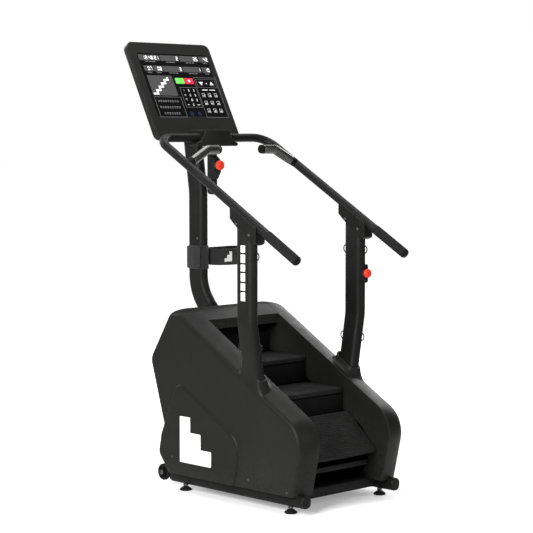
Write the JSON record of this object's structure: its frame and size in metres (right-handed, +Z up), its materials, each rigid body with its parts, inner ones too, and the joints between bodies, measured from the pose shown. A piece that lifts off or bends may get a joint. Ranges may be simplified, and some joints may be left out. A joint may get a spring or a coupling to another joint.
{
  "type": "stair climber",
  "caption": "Gym stair climber: a loop of moving steps between two moulded side covers, sloping handrails on uprights and a console on a rear mast.",
  "frame": {"origin": "on the floor, under the centre of the machine's outer box", "axes": "+X to the user's right, +Y the way the user faces (towards the console), +Z up"},
  "size_m": [0.706, 1.2143, 1.9652],
  "materials": {
    "frame_coat": "satin black powder coat",
    "cover_plastic": "fine-grained charcoal moulding",
    "step_plastic": "ribbed charcoal moulding",
    "rubber": "matt black",
    "webbing": "black woven webbing",
    "steel": "oiled plain steel",
    "gloss_panel": "smoked gloss overlay",
    "red_plastic": "bright red",
    "green_plastic": "bright green"
  },
  "bodies": {
    "frame": {"front_cross_tube": "frame_coat", "rear_cross_tube": "frame_coat", "mast_beam": "frame_coat", "mast": "frame_coat", "handrail": "frame_coat", "alternator": "frame_coat", "base_rail_left": "frame_coat", "base_rail_right": "frame_coat", "upright_left": "frame_coat", "upright_right": "frame_coat", "rail_bracket_left": "frame_coat", "rail_bracket_right": "frame_coat", "side_plate_left": "frame_coat", "side_plate_right": "frame_coat", "rear_deck_cover": "cover_plastic", "console_rear_shell": "cover_plastic", "console_block": "cover_plastic", "estop_hanger": "cover_plastic", "estop_housing_centre": "cover_plastic", "estop_housing_right": "cover_plastic", "side_cover_left": "cover_plastic", "side_cover_right": "cover_plastic", "drive_belt": "rubber", "grip_sleeve_left": "rubber", "grip_sleeve_right": "rubber", "pulse_grip_left": "rubber", "pulse_grip_right": "rubber", "mast_cuff": "webbing", "storage_strap": "webbing", "step_chain_left": "steel", "step_chain_right": "steel", "console_face": "gloss_panel", "display_lens": "gloss_panel"},
    "step_run": {"tread_2": "step_plastic", "tread_3": "step_plastic", "riser_1": "step_plastic", "riser_2": "step_plastic", "riser_3": "step_plastic"},
    "lower_turn": {"tread_4": "step_plastic", "tread_5": "step_plastic", "riser_4": "step_plastic", "riser_5": "step_plastic"},
    "return_run": {"tread_6": "step_plastic", "tread_7": "step_plastic", "riser_6": "step_plastic", "riser_7": "step_plastic"},
    "upper_turn": {"tread_1": "step_plastic"},
    "lower_shaft": {"lower_shaft": "steel"},
    "upper_shaft": {"upper_shaft": "steel"},
    "alternator_rotor": {"alternator_pulley": "steel"},
    "start_key": {"start_key": "green_plastic"},
    "stop_key": {"stop_key": "red_plastic"},
    "estop_cap_centre": {"estop_cap_centre": "red_plastic"},
    "estop_cap_right": {"estop_cap_right": "red_plastic"},
    "front_foot_left": {"front_foot_left": "rubber"},
    "front_foot_right": {"front_foot_right": "rubber"},
    "rear_foot_left": {"rear_foot_left": "rubber"},
    "rear_foot_right": {"rear_foot_right": "rubber"},
    "transport_wheel_left": {"transport_wheel_left": "rubber"},
    "transport_wheel_right": {"transport_wheel_right": "rubber"}
  },
  "joints": [
    {"name": "step_travel", "type": "slide", "parent": "frame", "child": "step_run", "axis": [0, -0.8897, -0.4566], "range_m": [-0.015, 0.03]},
    {"name": "lower_turn_swing", "type": "hinge", "parent": "frame", "child": "lower_turn", "pos_m": [0, -0.354, 0.2], "axis": [1, 0, 0], "range_deg": [-7.5, 14.5]},
    {"name": "upper_turn_swing", "type": "hinge", "parent": "frame", "child": "upper_turn", "pos_m": [0, 0.10859, 0.43738], "axis": [1, 0, 0], "range_deg": [-7.5, 14.5]},
    {"name": "lower_shaft_spin", "type": "hinge", "parent": "frame", "child": "lower_shaft", "pos_m": [0, -0.354, 0.2], "axis": [1, 0, 0], "range_deg": [-7.5, 14.5]},
    {"name": "upper_shaft_spin", "type": "hinge", "parent": "frame", "child": "upper_shaft", "pos_m": [0, 0.10859, 0.43738], "axis": [1, 0, 0], "range_deg": [-7.5, 14.5]},
    {"name": "alternator_spin", "type": "hinge", "parent": "frame", "child": "alternator_rotor", "pos_m": [0, -0.12724, 0.3276], "axis": [1, 0, 0], "range_deg": [-23, 45]},
    {"name": "return_travel", "type": "slide", "parent": "frame", "child": "return_run", "axis": [0, 0.8897, 0.4566], "range_m": [-0.0155, 0.0305]},
    {"name": "start_key_press", "type": "slide", "parent": "frame", "child": "start_key", "axis": [0, 0.8854, -0.4648], "range_m": [0, 0.0012], "stiffness_N_per_m": 2000},
    {"name": "stop_key_press", "type": "slide", "parent": "frame", "child": "stop_key", "axis": [0, 0.8854, -0.4648], "range_m": [0, 0.0012], "stiffness_N_per_m": 2000},
    {"name": "estop_centre_press", "type": "slide", "parent": "frame", "child": "estop_cap_centre", "axis": [0, 1, 0], "range_m": [0, 0.004], "stiffness_N_per_m": 2500},
    {"name": "estop_right_press", "type": "slide", "parent": "frame", "child": "estop_cap_right", "axis": [0, 1, 0], "range_m": [0, 0.004], "stiffness_N_per_m": 2500},
    {"name": "transport_wheel_left_spin", "type": "hinge", "parent": "frame", "child": "transport_wheel_left", "pos_m": [-0.286, 0.277, 0.066], "axis": [1, 0, 0], "continuous": true},
    {"name": "transport_wheel_right_spin", "type": "hinge", "parent": "frame", "child": "transport_wheel_right", "pos_m": [0.286, 0.277, 0.066], "axis": [1, 0, 0], "continuous": true},
    {"name": "front_foot_left_height", "type": "slide", "parent": "frame", "child": "front_foot_left", "axis": [0, 0, -1], "range_m": [0, 0.01]},
    {"name": "front_foot_right_height", "type": "slide", "parent": "frame", "child": "front_foot_right", "axis": [0, 0, -1], "range_m": [0, 0.01]},
    {"name": "rear_foot_left_height", "type": "slide", "parent": "frame", "child": "rear_foot_left", "axis": [0, 0, -1], "range_m": [0, 0.01]},
    {"name": "rear_foot_right_height", "type": "slide", "parent": "frame", "child": "rear_foot_right", "axis": [0, 0, -1], "range_m": [0, 0.01]}
  ],
  "couplings": [
    {"joint": "lower_turn_swing", "follows": "step_travel", "rad_per_m": 8.3333},
    {"joint": "upper_turn_swing", "follows": "step_travel", "rad_per_m": 8.3333},
    {"joint": "lower_shaft_spin", "follows": "step_travel", "rad_per_m": 8.3333},
    {"joint": "upper_shaft_spin", "follows": "step_travel", "rad_per_m": 8.3333},
    {"joint": "alternator_spin", "follows": "step_travel", "rad_per_m": 25.758},
    {"joint": "return_travel", "follows": "step_travel", "ratio": 1}
  ]
}
